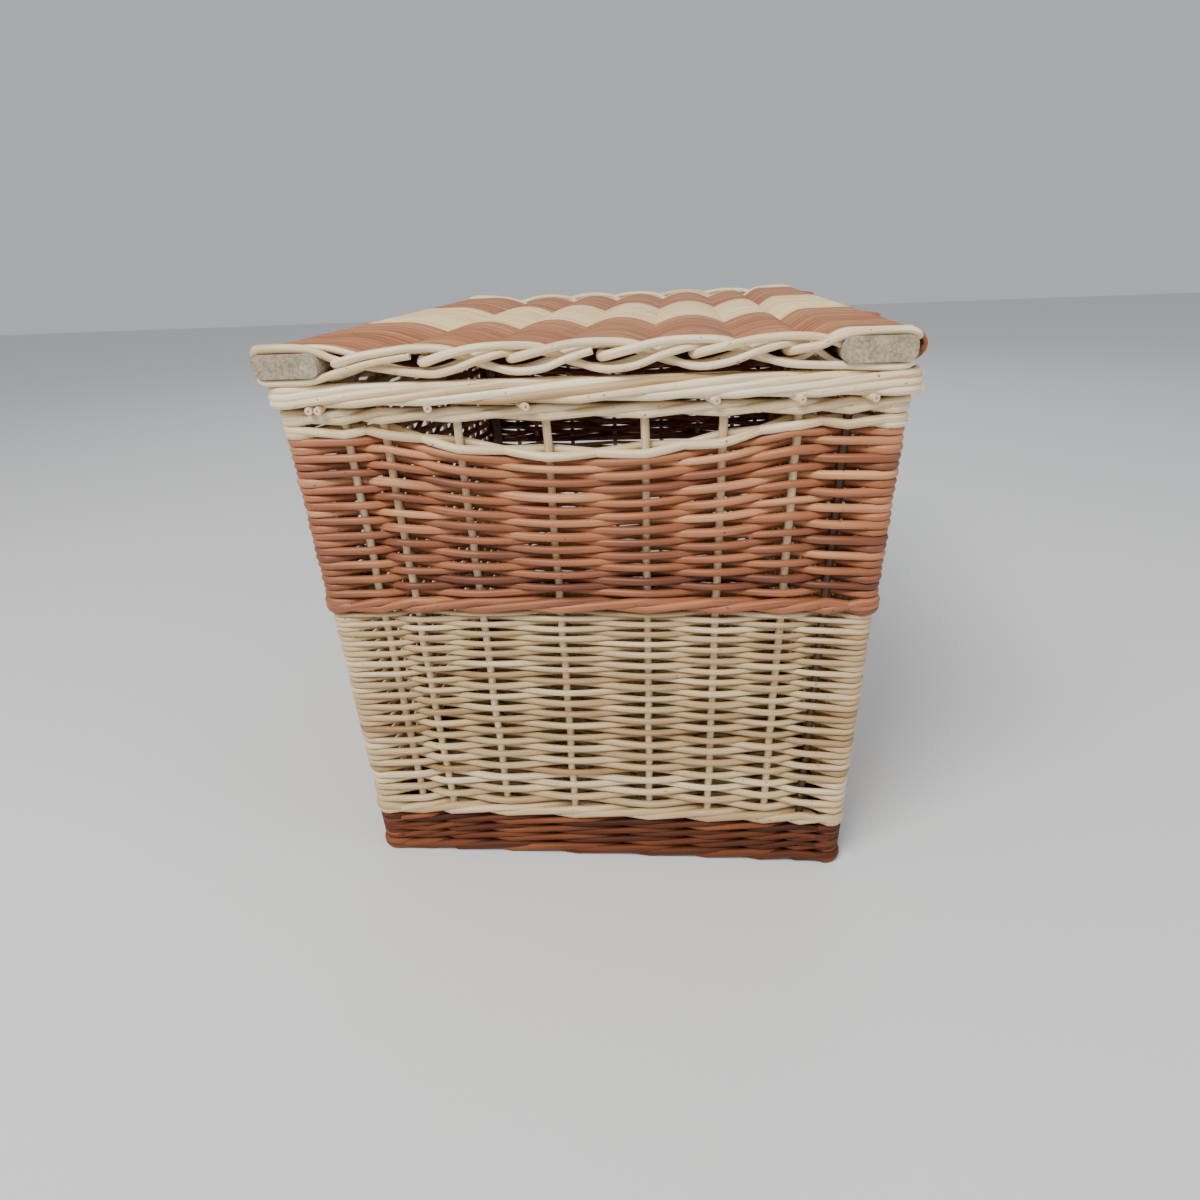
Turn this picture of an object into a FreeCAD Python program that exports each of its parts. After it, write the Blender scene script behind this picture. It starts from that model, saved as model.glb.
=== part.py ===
# Willow laundry hamper with a hinged woven lid.
# Millimetres, +Z up, origin on the floor under the middle of the basket.
# The carry holes are in the short walls at -Y and +Y, and the lid hinges on the long rim at +X.
import FreeCAD, Part
import math
import os

from FreeCAD import Placement, Rotation, Vector

DIMENSIONS = {
    # walls: outside half sizes of the weave at the floor and at the top of the brown band
    "foot_half_width": 190,
    "foot_half_depth": 270,
    "rim_half_width": 200,
    "rim_half_depth": 280,
    "rim_height": 357,
    "wall_thickness": 13.6,
    # heights at which one band of weave ends and the next starts
    "foot_band_top": 38,
    "lower_wale_top": 50,
    "cream_band_top": 227,
    "middle_wale_top": 240,
    "brown_band_top": 357,
    "handle_wale_top": 364,
    "upper_wale_top": 377,
    "border_top": 392,
    # uprights
    "stake_radius": 2.8,
    "stake_bottom": 4,
    "post_bottom": 0.5,
    "stake_top": 385,
    "post_radius": 7,
    "post_inset": 10.5,
    # carry hole: the sagging edge of the weave is an arc through both short walls
    "sag_radius": 500,
    "sag_lowest": 339,
    "handle_wale_thickness": 8,
    # rolled border
    "border_half_width": 208,
    "border_half_depth": 287.5,
    "border_inner_half_width": 185,
    "border_inner_half_depth": 265,
    # base
    "base_bottom": 6,
    "base_top": 22,
    "base_bar_width": 30,
    "base_bar_thickness": 12,
    "base_bar_offset": 150,
    "base_rib_radius": 4,
    "base_rib_spacing": 50,
    # lid
    "lid_bottom": 393.5,
    "lid_top": 415,
    "lid_left": -214.5,
    "lid_right": 208.5,
    "lid_half_length": 288,
    "lid_bar_width": 43,
    "lid_bar_thickness": 15,
    "lid_bar_bottom": 396.5,
    "left_bar_edge": -207.5,
    "right_bar_edge": 156,
    "lid_rib_radius": 4,
    "lid_rib_height": 404,
    "lid_rib_spacing": 56.6,
    "lid_rib_offset": 13.3,
    "twist_length": 14,
    "twist_bottom": 395,
    "twist_top": 411,
    # hinge: two willow loops turn on a rod along the rim
    "hinge_x": 204.5,
    "hinge_z": 388.5,
    "hinge_rod_radius": 3.5,
    "hinge_rod_inset": 12,
    "hinge_clearance": 0.35,
    "loop_thickness": 2.6,
    "loop_width": 11,
    "loop_spacing": 300,
    "loop_gap": 1.5,
    "notch_depth": 11.5,
}

# Uprights of the short walls are set by hand, as far from the middle as their place at the rim.
SHORT_WALL_STAKES = (-164, -137, -86, -25, 41, 92, 140, 171)
LONG_WALL_STAKES = tuple(range(-220, 221, 55))
CORNERS = {"front_left": (-1, -1), "front_right": (1, -1), "rear_left": (-1, 1), "rear_right": (1, 1)}
RIB_COUNT = 5

doc = FreeCAD.newDocument("laundry_hamper")
sheet = doc.addObject("Spreadsheet::Sheet", "dims")
for row, (alias, value) in enumerate(DIMENSIONS.items(), start=1):
    sheet.set(f"A{row}", alias)
    sheet.set(f"B{row}", str(value))
    sheet.setAlias(f"B{row}", alias)
doc.recompute()

nodes = []


def dim(alias):
    """The sheet's present value of one driving dimension."""
    return float(sheet.get(alias))


def add(kind, name, place=None, **expressions):
    """A document object whose named properties follow expressions of the sheet."""
    item = doc.addObject(kind, name)
    for prop, expression in expressions.items():
        item.setExpression(prop, expression)
    if place is not None:
        item.Placement = place
    return item


def keep(item, label):
    """Marks an object as one finished piece of the hamper."""
    item.Label = label
    nodes.append(item)
    return item


def cut(base, tool, name):
    item = doc.addObject("Part::Cut", name)
    item.Base = base
    item.Tool = tool
    return item


def fuse(shapes, name):
    item = doc.addObject("Part::MultiFuse", name)
    item.Shapes = shapes
    return item


def group(items, name):
    """Separate solids of one kind that share a node."""
    item = doc.addObject("Part::Compound", name)
    item.Links = items
    return item


def half_width(height):
    """Expression for the outside half width of the leaning walls at a height."""
    return ("(dims.foot_half_width + (dims.rim_half_width - dims.foot_half_width)"
            f" * ({height}) / dims.rim_height)")


def half_depth(height):
    return ("(dims.foot_half_depth + (dims.rim_half_depth - dims.foot_half_depth)"
            f" * ({height}) / dims.rim_height)")


def leaning_block(name, low, high, inset="0"):
    """A block between two heights whose sides lean with the walls, inset from their outside."""
    # a wedge tapers along its own Y, which the placement turns up to Z
    upright = Placement(Vector(), Rotation(Vector(1, 0, 0), 90))
    return add(
        "Part::Wedge", name, upright,
        Ymin=low, Ymax=high,
        Xmin=f"-({half_width(low)} - {inset})", Xmax=f"{half_width(low)} - {inset}",
        Zmin=f"-({half_depth(low)} - {inset})", Zmax=f"{half_depth(low)} - {inset}",
        X2min=f"-({half_width(high)} - {inset})", X2max=f"{half_width(high)} - {inset}",
        Z2min=f"-({half_depth(high)} - {inset})", Z2max=f"{half_depth(high)} - {inset}",
    )


def wall_ring(name, low, high):
    """One band of weave round all four walls."""
    outside = leaning_block(f"{name}_outside", low, high)
    inside = leaning_block(f"{name}_inside", f"({low}) - 1", f"({high}) + 1", "dims.wall_thickness")
    return cut(outside, inside, name)


def block(name, x_low, x_high, y_low, y_high, z_low, z_high):
    """A straight block between six expressions; its place follows the sheet too."""
    item = add("Part::Box", name, Length=f"({x_high}) - ({x_low})",
               Width=f"({y_high}) - ({y_low})", Height=f"({z_high}) - ({z_low})")
    item.setExpression("Placement.Base.x", x_low)
    item.setExpression("Placement.Base.y", y_low)
    item.setExpression("Placement.Base.z", z_low)
    return item


def rod(name, radius, start, end):
    """A straight round rod between two points."""
    item = add("Part::Cylinder", name, Radius=radius)
    item.Height = (end - start).Length
    item.Placement = Placement(start, Rotation(Vector(0, 0, 1), end - start))
    return item


def wall_point(x_share, y_share, height, inset):
    """A point inset from the outside of the walls, given as shares of the half sizes."""
    lean = height / dim("rim_height")
    width = dim("foot_half_width") + (dim("rim_half_width") - dim("foot_half_width")) * lean - inset
    depth = dim("foot_half_depth") + (dim("rim_half_depth") - dim("foot_half_depth")) * lean - inset
    return Vector(width * x_share, depth * y_share, height)


def upright(name, radius, x_share, y_share, low, inset):
    """An upright that leans with the walls from a low height to the border."""
    top = dim("stake_top")
    return rod(name, radius, wall_point(x_share, y_share, low, inset), wall_point(x_share, y_share, top, inset))


def make_posts():
    for name, (x_side, y_side) in CORNERS.items():
        post = upright(f"post_{name}", "dims.post_radius", x_side, y_side, dim("post_bottom"), dim("post_inset"))
        keep(post, f"corner_post_{name}")


def make_stakes():
    """Uprights of each wall, in the middle of the weave's thickness."""
    inset = dim("wall_thickness") / 2
    walls = {
        "front_stakes": [(x / dim("rim_half_width"), -1) for x in SHORT_WALL_STAKES],
        "rear_stakes": [(x / dim("rim_half_width"), 1) for x in SHORT_WALL_STAKES],
        "left_stakes": [(-1, y / dim("rim_half_depth")) for y in LONG_WALL_STAKES],
        "right_stakes": [(1, y / dim("rim_half_depth")) for y in LONG_WALL_STAKES],
    }
    for wall, places in walls.items():
        stakes = [
            upright(f"{wall}_{number}", "dims.stake_radius", x_share, y_share, dim("stake_bottom"), inset)
            for number, (x_share, y_share) in enumerate(places, start=1)
        ]
        keep(group(stakes, wall), wall)


def make_plain_bands():
    bands = {
        "foot_band": ("0", "dims.foot_band_top"),
        "lower_wale": ("dims.foot_band_top", "dims.lower_wale_top"),
        "cream_band": ("dims.lower_wale_top", "dims.cream_band_top"),
        "middle_wale": ("dims.cream_band_top", "dims.middle_wale_top"),
        "upper_wale": ("dims.handle_wale_top", "dims.upper_wale_top"),
    }
    for name, (low, high) in bands.items():
        keep(wall_ring(f"{name}_ring", low, high), name)


def sag_cylinder(name, radius):
    """The long round tool whose underside is the sagging edge of both carry holes."""
    item = add("Part::Cylinder", name, Radius=radius, Height="dims.border_half_depth * 2")
    item.Placement = Placement(Vector(0, dim("border_half_depth"), dim("sag_lowest") + dim("sag_radius")),
                               Rotation(Vector(1, 0, 0), 90))
    return item


def make_carry_hole_bands():
    """The brown band sags in both short walls, and a pair of cream rods follows its edge."""
    brown = cut(wall_ring("brown_ring", "dims.middle_wale_top", "dims.brown_band_top"),
                sag_cylinder("brown_sag", "dims.sag_radius"), "brown_sagged")
    keep(brown, "brown_band")
    full = wall_ring("handle_ring", "dims.sag_lowest", "dims.handle_wale_top")
    opened = cut(full, sag_cylinder("hole_sag", "dims.sag_radius - dims.handle_wale_thickness"), "handle_opened")
    below = cut(leaning_block("below_block", "dims.sag_lowest - 1", "dims.brown_band_top", "-1"),
                sag_cylinder("below_sag", "dims.sag_radius"), "below_edge")
    keep(cut(opened, below, "handle_sagged"), "handle_wale")


def loop_middles():
    return (-dim("loop_spacing") / 2, dim("loop_spacing") / 2)


def make_border():
    """The rolled rim, with a rebate for the hinge rod and a notch for each loop."""
    outside = block("border_outside", "-dims.border_half_width", "dims.border_half_width",
                    "-dims.border_half_depth", "dims.border_half_depth",
                    "dims.upper_wale_top", "dims.border_top")
    inside = block("border_inside", "-dims.border_inner_half_width", "dims.border_inner_half_width",
                   "-dims.border_inner_half_depth", "dims.border_inner_half_depth",
                   "dims.upper_wale_top - 1", "dims.border_top + 1")
    rod_end = "(dims.border_half_depth - dims.hinge_rod_inset)"
    rebate = block("hinge_rebate", "dims.hinge_x - dims.hinge_rod_radius", "dims.border_half_width + 1",
                   f"-{rod_end}", rod_end, "dims.hinge_z - dims.hinge_rod_radius", "dims.border_top + 1")
    hinge_rod = add("Part::Cylinder", "hinge_rod_body", Placement(Vector(), Rotation(Vector(1, 0, 0), -90)),
                    Radius="dims.hinge_rod_radius", Height=f"{rod_end} * 2")
    hinge_rod.setExpression("Placement.Base.x", "dims.hinge_x")
    hinge_rod.setExpression("Placement.Base.y", f"-{rod_end}")
    hinge_rod.setExpression("Placement.Base.z", "dims.hinge_z")
    reach = "(dims.loop_width / 2 + dims.loop_gap)"
    notches = []
    for number, sign in enumerate(("-", ""), start=1):
        middle = f"{sign}dims.loop_spacing / 2"
        notches.append(block(f"loop_notch_{number}", "dims.border_inner_half_width - 1",
                             "dims.border_half_width + 1", f"{middle} - {reach}", f"{middle} + {reach}",
                             "dims.border_top - dims.notch_depth", "dims.border_top + 1"))
    tools = fuse([inside, rebate] + notches, "border_tools")
    keep(cut(outside, tools, "border_cut"), "rim_border")
    keep(hinge_rod, "hinge_rod")


def make_base():
    floor = leaning_block("base_floor", "dims.base_bottom", "dims.base_top", "dims.wall_thickness")
    keep(floor, "base_weave")
    middle = "(dims.base_bottom + dims.base_top) / 2"
    end = f"({half_depth('dims.base_bottom')} - dims.wall_thickness - 2)"
    for side, sign in (("left", "-"), ("right", "")):
        centre = f"{sign}dims.base_bar_offset"
        bar = block(f"base_bar_body_{side}", f"{centre} - dims.base_bar_width / 2",
                    f"{centre} + dims.base_bar_width / 2", f"-{end}", end,
                    f"{middle} - dims.base_bar_thickness / 2", f"{middle} + dims.base_bar_thickness / 2")
        keep(bar, f"base_bar_{side}")
    reach = dim("foot_half_depth") - dim("wall_thickness") - 2
    height = (dim("base_bottom") + dim("base_top")) / 2
    ribs = []
    for number in range(RIB_COUNT):
        x = (number - (RIB_COUNT - 1) / 2) * dim("base_rib_spacing")
        ribs.append(rod(f"base_rib_{number + 1}", "dims.base_rib_radius",
                        Vector(x, -reach, height), Vector(x, reach, height)))
    keep(group(ribs, "base_rib_group"), "base_ribs")


def make_lid():
    for side, edge in (("left", "dims.left_bar_edge"), ("right", "dims.right_bar_edge")):
        bar = block(f"lid_bar_body_{side}", edge, f"{edge} + dims.lid_bar_width",
                    "-dims.lid_half_length", "dims.lid_half_length",
                    "dims.lid_bar_bottom", "dims.lid_bar_bottom + dims.lid_bar_thickness")
        keep(bar, f"lid_bar_{side}")
    reach = dim("lid_half_length") - 3
    for number in range(RIB_COUNT):
        x = dim("lid_rib_offset") + (number - (RIB_COUNT - 1) / 2) * dim("lid_rib_spacing")
        rib = rod(f"lid_rib_body_{number + 1}", "dims.lid_rib_radius",
                  Vector(x, -reach, dim("lid_rib_height")), Vector(x, reach, dim("lid_rib_height")))
        keep(rib, f"lid_rib_{number + 1}")
    weave_end = "(dims.lid_half_length - dims.twist_length)"
    bands = {
        "lid_front_brown_band": (f"-{weave_end}", f"-{weave_end} / 3"),
        "lid_cream_band": (f"-{weave_end} / 3", f"{weave_end} / 3"),
        "lid_rear_brown_band": (f"{weave_end} / 3", weave_end),
    }
    for name, (near, far) in bands.items():
        keep(block(f"{name}_body", "dims.lid_left", "dims.lid_right", near, far,
                   "dims.lid_bottom", "dims.lid_top"), name)
    twists = {
        "lid_front_twist": ("-dims.lid_half_length", f"-{weave_end}"),
        "lid_rear_twist": (weave_end, "dims.lid_half_length"),
    }
    for name, (near, far) in twists.items():
        keep(block(f"{name}_body", "dims.left_bar_edge + dims.lid_bar_width", "dims.right_bar_edge",
                   near, far, "dims.twist_bottom", "dims.twist_top"), name)


def loop_outline(offset):
    """The closed strap round the hinge rod and the lid's bar, at an offset from both."""
    axis_x, axis_z = dim("hinge_x"), dim("hinge_z")
    radius = dim("hinge_rod_radius") + dim("hinge_clearance") + offset
    top = dim("lid_top") + offset
    underside = dim("lid_bottom") - offset
    outer = dim("lid_right") + offset
    inner = dim("right_bar_edge") - offset
    right = Vector(axis_x + radius, 0, axis_z)
    bottom = Vector(axis_x, 0, axis_z - radius)
    left = Vector(axis_x - radius, 0, axis_z)
    round_rod = Part.Arc(right, bottom, left).toShape()
    # from the rod the strap runs under the lid, up through the weave, over the bar and down outside
    corners = [left, Vector(inner, 0, underside), Vector(inner, 0, top), Vector(outer, 0, top), right]
    sides = [Part.LineSegment(a, b).toShape() for a, b in zip(corners, corners[1:])]
    return Part.Face(Part.Wire([round_rod] + sides))


def make_hinge_loops():
    strap = loop_outline(dim("loop_thickness")).cut(loop_outline(0))
    for name, middle in zip(("hinge_loop_front", "hinge_loop_rear"), loop_middles()):
        item = doc.addObject("Part::Feature", f"{name}_body")
        item.Shape = strap.extrude(Vector(0, dim("loop_width"), 0))
        item.Placement = Placement(Vector(0, middle - dim("loop_width") / 2, 0), Rotation())
        keep(item, name)


def check(items):
    for item in items:
        if {"Invalid", "Error"} & set(item.State):
            raise RuntimeError(f"{item.Label}: {item.State}")
    for item in nodes:
        if item.Shape.isNull() or not item.Shape.isValid() or item.Shape.Volume <= 0:
            raise RuntimeError(f"{item.Label} has no valid solid")


make_posts()
make_stakes()
make_plain_bands()
make_carry_hole_bands()
make_border()
make_base()
make_lid()
make_hinge_loops()
doc.recompute()
check(doc.Objects)

os.makedirs("parts", exist_ok=True)
for node in nodes:
    node.Shape.exportStep(f"parts/{node.Label}.step")
    box = node.Shape.BoundBox
    print(f"{node.Label}: {len(node.Shape.Solids)} solids, {node.Shape.Volume / 1000:.0f} cm3,"
          f" x {box.XMin:.1f}..{box.XMax:.1f} y {box.YMin:.1f}..{box.YMax:.1f} z {box.ZMin:.1f}..{box.ZMax:.1f}")
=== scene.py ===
# Looks of the willow laundry hamper: every rod of the basket and the lid is woven as a real strand
# round the uprights that the frame gives. Lengths are in millimetres until a mesh is made.
import math

import bpy
import numpy as np
from mathutils import Matrix, Vector


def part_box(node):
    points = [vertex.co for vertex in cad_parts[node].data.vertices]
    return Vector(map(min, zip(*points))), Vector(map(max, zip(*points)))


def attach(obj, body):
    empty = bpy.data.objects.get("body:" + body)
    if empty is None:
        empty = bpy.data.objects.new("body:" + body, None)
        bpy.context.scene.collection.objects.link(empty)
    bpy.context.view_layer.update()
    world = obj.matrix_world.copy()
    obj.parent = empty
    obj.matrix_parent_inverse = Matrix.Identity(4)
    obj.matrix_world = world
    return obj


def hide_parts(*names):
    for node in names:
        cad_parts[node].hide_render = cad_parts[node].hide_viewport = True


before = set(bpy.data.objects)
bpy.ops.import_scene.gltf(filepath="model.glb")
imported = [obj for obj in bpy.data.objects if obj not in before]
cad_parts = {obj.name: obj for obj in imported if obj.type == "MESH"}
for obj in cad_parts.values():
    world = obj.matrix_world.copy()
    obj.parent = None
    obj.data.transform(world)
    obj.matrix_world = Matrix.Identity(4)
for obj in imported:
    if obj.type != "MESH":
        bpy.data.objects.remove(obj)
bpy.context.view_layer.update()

MM = 0.001
rng = np.random.default_rng(11)


# ---------------------------------------------------------------- sizes from the frame

def box_mm(node):
    """Lowest and highest corner of a frame node, in millimetres."""
    return [np.array(corner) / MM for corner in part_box(node)]


def levels(node):
    low, high = box_mm(node)
    return low[2], high[2]


LOWER_WALE = levels("lower_wale")
CREAM = levels("cream_band")
MIDDLE_WALE = levels("middle_wale")
BROWN = levels("brown_band")
HANDLE_WALE = levels("handle_wale")
UPPER_WALE = levels("upper_wale")
BORDER = levels("rim_border")

foot_corner = box_mm("foot_band")[1]
rim_corner = box_mm("brown_band")[1]
LEAN = (rim_corner[:2] - foot_corner[:2]) / (rim_corner[2] - foot_corner[2])
FLOOR_HALF = foot_corner[:2] - LEAN * foot_corner[2]

STAKE_INSET = 6.8
STAKE_RADIUS = 2.8
POST_INSET = 10.5
POST_RADIUS = 7.0
SAG = 18.0
SAG_RADIUS = 500.0
# Rods bite this far into the uprights, and are this much taller than wide on each kind of wall.
BITE = 0.8
FRONT_TALL = 1.04
BROWN_TALL = 1.22
CREAM_TALL = 1.2
# The flat part of a lid or base bar starts this far in from its edge.
BAR_EDGE = 5
# Share of the half width past which a short wall's upright counts as the one by the hinge corner, which is
# painted near-black as shade.
HINGE_CORNER_SHARE = 0.84

# Places of the uprights at the rim, the same as in the frame.
SHORT_WALL = np.array((-164, -137, -86, -25, 41, 92, 140, 171)) / rim_corner[0]
LONG_WALL = np.arange(-220, 221, 55) / rim_corner[1]

# Each wall: its outward direction, the direction in which it is walked, and its uprights.
WALLS = (
    ((0, -1), (1, 0), SHORT_WALL),
    ((1, 0), (0, 1), LONG_WALL),
    ((0, 1), (-1, 0), -SHORT_WALL[::-1]),
    ((-1, 0), (0, -1), LONG_WALL),
)
UPRIGHTS = [wall[2] for wall in WALLS]
# Rows are walked from the rear left corner, where their ends are tucked in.
ORDER = (3, 0, 1, 2)


def half_sizes(height):
    """Outside half width and half depth of the leaning walls."""
    return FLOOR_HALF + LEAN * np.asarray(height)[..., None]


# ---------------------------------------------------------------- rods

class Rods:
    """Collects rods, then makes one mesh that knows each rod's tone and the place along it."""

    def __init__(self):
        self.points, self.faces, self.tones, self.grains, self.cuts = [], [], [], [], []
        self.count = 0

    def keep(self, points, faces, tones, grains, cut):
        self.points.append(points)
        self.faces += (faces + self.count).tolist()
        self.tones.append(tones)
        self.grains.append(grains)
        self.cuts.append(np.full(len(points), cut))
        self.count += len(points)

    def add(self, path, radius, tone, closed=False, up=(0, 0, 1), wide=1.0, sides=8):
        """One rod along a path. up is a direction that the path never follows."""
        path = np.asarray(path, float)
        count = len(path)
        radius = np.broadcast_to(radius, (count,))[:, None]
        tone = np.broadcast_to(tone, (count,))
        wide = np.broadcast_to(wide, (count,))[:, None, None]
        if closed:
            ahead, behind = np.roll(path, -1, 0), np.roll(path, 1, 0)
        else:
            ahead = np.vstack((path[1:], path[-1]))
            behind = np.vstack((path[0], path[:-1]))
        tangent = unit(ahead - behind)
        across = unit(np.cross(tangent, up))
        lift = np.cross(across, tangent)
        angles = np.arange(sides) * 2 * np.pi / sides
        first = radius[:, None] * np.cos(angles)[None, :, None]
        second = radius[:, None] * np.sin(angles)[None, :, None] * wide
        rings = path[:, None] + first * across[:, None] + second * lift[:, None]
        steps = np.linalg.norm(np.diff(path, axis=0), axis=1)
        along = np.concatenate(([0], np.cumsum(steps))) + rng.uniform(0, 5000)
        grain = np.empty((count, sides, 3))
        grain[..., 0] = along[:, None]
        grain[..., 1] = first[..., 0]
        grain[..., 2] = second[..., 0]
        row = np.arange(count if closed else count - 1)[:, None]
        side = np.arange(sides)[None, :]
        after, beside = (row + 1) % count, (side + 1) % sides
        corners = (row * sides + side, row * sides + beside, after * sides + beside, after * sides + side)
        faces = np.stack([np.broadcast_to(c, (len(row), sides)).ravel() for c in corners], 1)
        self.keep(rings.reshape(-1, 3), faces, np.repeat(tone, sides), grain.reshape(-1, 3), 0.0)
        if not closed:
            for end, turn in ((0, 1), (-1, -1)):
                self.cap(path[end], rings[end], grain[end], tone[end], turn)

    def cap(self, centre, ring, grain, tone, turn):
        """The cut end of a rod, slightly domed."""
        sides = len(ring)
        points = np.vstack((ring, centre + (centre - ring.mean(0))))
        side = np.arange(sides)
        faces = np.stack((np.full(sides, sides), (side + 1) % sides, side), 1)[:, ::turn]
        grains = np.vstack((grain, grain.mean(0)))
        self.keep(points, faces, np.full(sides + 1, tone), grains, 1.0)
        self.cuts[-1][-1] = 2.0

    def build(self, name, material, body, slot, *nodes):
        mesh = bpy.data.meshes.new(name)
        mesh.from_pydata((np.vstack(self.points) * MM).tolist(), [], self.faces)
        mesh.polygons.foreach_set("use_smooth", np.array([len(f) == 4 for f in self.faces]))
        layers = (("tone", "FLOAT", "value", np.concatenate(self.tones)),
                  ("cut", "FLOAT", "value", np.concatenate(self.cuts)),
                  ("grain", "FLOAT_VECTOR", "vector", (np.vstack(self.grains) * MM).ravel()))
        for layer, kind, field, values in layers:
            mesh.attributes.new(layer, kind, "POINT").data.foreach_set(field, values)
        mesh.materials.append(material)
        mesh.update()
        piece = bpy.data.objects.new(name, mesh)
        bpy.context.scene.collection.objects.link(piece)
        settle(piece, body, slot, *nodes)


def settle(piece, body, slot, *nodes):
    """Says what a piece rides on and which frame nodes it stands for, and hides those; slot, the finish it
    has, is not used.
    """
    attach(piece, body)
    if nodes:
        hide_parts(*nodes)


def unit(vectors):
    return vectors / np.linalg.norm(vectors, axis=-1, keepdims=True)


def eased(places, values, at, softness=1.0):
    """Values between places, joined by smooth S curves, or straighter ones if less soft."""
    index = np.clip(np.searchsorted(places, at, side="right") - 1, 0, len(places) - 2)
    share = (at - places[index]) / (places[index + 1] - places[index])
    share += (0.5 - 0.5 * np.cos(np.pi * share) - share) * softness
    return values[index] + (values[index + 1] - values[index]) * share


# ---------------------------------------------------------------- weaving round the walls

STEP = 7.0
CORNER_STEPS = 6


def station_places(stakes, half_along):
    """Where a wall's first corner, its uprights and its second corner are, along the wall."""
    straight = half_along - POST_INSET
    return np.concatenate(([-straight], stakes * (half_along - STAKE_INSET), [straight]))


def wall_path(height, insets, rises, walls=ORDER, uprights=UPRIGHTS):
    """A path round the walls. height(wall, place) is the rod's level; insets and rises are
    lists per wall with a value at each station."""
    points, stations = [], []
    passed = 0
    for wall in walls:
        outward, forward, _ = WALLS[wall]
        stakes = uprights[wall]
        outward, forward = np.array(outward), np.array(forward)
        middle = half_sizes(height(wall, np.zeros(1)))[0]
        places = station_places(stakes, abs(middle @ forward))
        at, station = [], []
        for number, (near, far) in enumerate(zip(places, places[1:])):
            count = max(3, round((far - near) / STEP))
            at.append(np.linspace(near, far, count, endpoint=False))
            station.append(passed + number + np.linspace(0, 1, count, endpoint=False))
        at = np.concatenate(at + [places[-1:]])
        passed += len(places) - 1
        stations.append(np.concatenate(station + [[passed]]))
        level = height(wall, at) + np.interp(at, places, rises[wall])
        inset = eased(places, insets[wall], at, 0.55)
        half = half_sizes(level)
        out = np.abs(half @ outward) - inset
        points.append(np.column_stack((at[:, None] * forward + out[:, None] * outward, level)))
        turn = np.linspace(0, np.pi / 2, CORNER_STEPS + 2)[1:-1, None]
        corner = half[-1] - POST_INSET
        centre = corner[0] * np.array((1, 0)) * (outward + forward)[0] \
            + corner[1] * np.array((0, 1)) * (outward + forward)[1]
        reach = POST_INSET - inset[-1]
        arc = centre + reach * (np.cos(turn) * outward + np.sin(turn) * forward)
        following = rises[(wall + 1) % 4][0]
        next_level = height((wall + 1) % 4, np.array([-1e9]))[0] + following
        arc_level = level[-1] + (next_level - level[-1]) * turn * 2 / np.pi
        points.append(np.column_stack((arc, arc_level)))
        passed += 1
        stations.append(passed - 1 + turn[:, 0] * 2 / np.pi)
    return np.vstack(points), np.concatenate(stations)


def sag_at(wall, place):
    """How far the weave dips under the carry holes of the short walls."""
    if wall % 2:
        return np.zeros_like(place)
    reach = np.minimum(np.abs(place), SAG_RADIUS)
    return np.maximum(SAG - SAG_RADIUS + np.sqrt(SAG_RADIUS ** 2 - reach ** 2), 0)


def rod_tones(stations, spread, hidden, mean=0.5):
    """A tone that changes behind an upright, where one rod ends and the next is laid in."""
    joints = np.sort(rng.choice(hidden, 2, replace=False))
    tones = rng.normal(mean, spread, 3)
    tones[2] = tones[0]
    return np.clip(tones[np.searchsorted(joints, stations)], 0, 1)


def outside(radius):
    return STAKE_INSET - STAKE_RADIUS - radius + BITE


def inside(radius):
    return STAKE_INSET + STAKE_RADIUS + radius - BITE


def corner_inset(radius):
    return POST_INSET - POST_RADIUS - radius + 0.2


def randing(rods, number, height, radius, tall, mean=0.5):
    """One closed row that passes in front of one upright and behind the next."""
    insets, rises, hidden = [None] * 4, [None] * 4, []
    station, starts = 0, {}
    for wall in ORDER:
        starts[wall] = station
        count = len(UPRIGHTS[wall])
        front = (np.arange(count) + number + wall) % 2 == 0
        inset = np.where(front, outside(radius), inside(radius)) + rng.normal(0, 0.25, count)
        insets[wall] = np.concatenate(([corner_inset(radius)], inset, [corner_inset(radius)]))
        drop = np.where(front, 0.3, -0.9) + rng.normal(0, 0.35, count)
        rises[wall] = np.concatenate(([0], drop, [0]))
        hidden += list(station + 1 + np.flatnonzero(~front))
        station += count + 2
    path, stations = wall_path(height, insets, rises)
    swell = 1 + 0.07 * np.sin(stations * 4 * np.pi / stations[-1] + rng.uniform(0, 6))
    # the rods of the front wall are round, those of the other walls are pressed a little taller
    near, far = starts[0], starts[1] - 1
    ramp_places = (near - 1, near + 0.5, far - 0.5, far + 1)
    tallness = np.interp(stations, ramp_places, (tall, FRONT_TALL, FRONT_TALL, tall))
    rods.add(path, radius * swell, rod_tones(stations, 0.15, hidden, mean), closed=True, wide=tallness)


def wale(rods, height, radius, climb, spread=0.14, mean=0.5):
    """Three rods that each pass in front of two uprights and behind one, climbing as they go."""
    for strand in range(3):
        insets, rises, hidden = [None] * 4, [None] * 4, []
        station, turn = 0, 0
        for wall in ORDER:
            count = len(UPRIGHTS[wall]) + 2
            phase = (turn + np.arange(count) - strand) % 3
            inset = np.where(phase == 0, inside(radius), outside(radius)) + rng.normal(0, 0.2, count)
            inset[[0, -1]] = corner_inset(radius)
            insets[wall] = inset
            rises[wall] = np.choose(phase, (0.0, -0.85, 0.95)) * climb + rng.normal(0, 0.2, count)
            hidden += list(station + np.flatnonzero(phase == 0))
            station += count
            turn += count - 1
        path, stations = wall_path(height, insets, rises)
        rods.add(path, radius, rod_tones(stations, spread, hidden, mean), closed=True)


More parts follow.
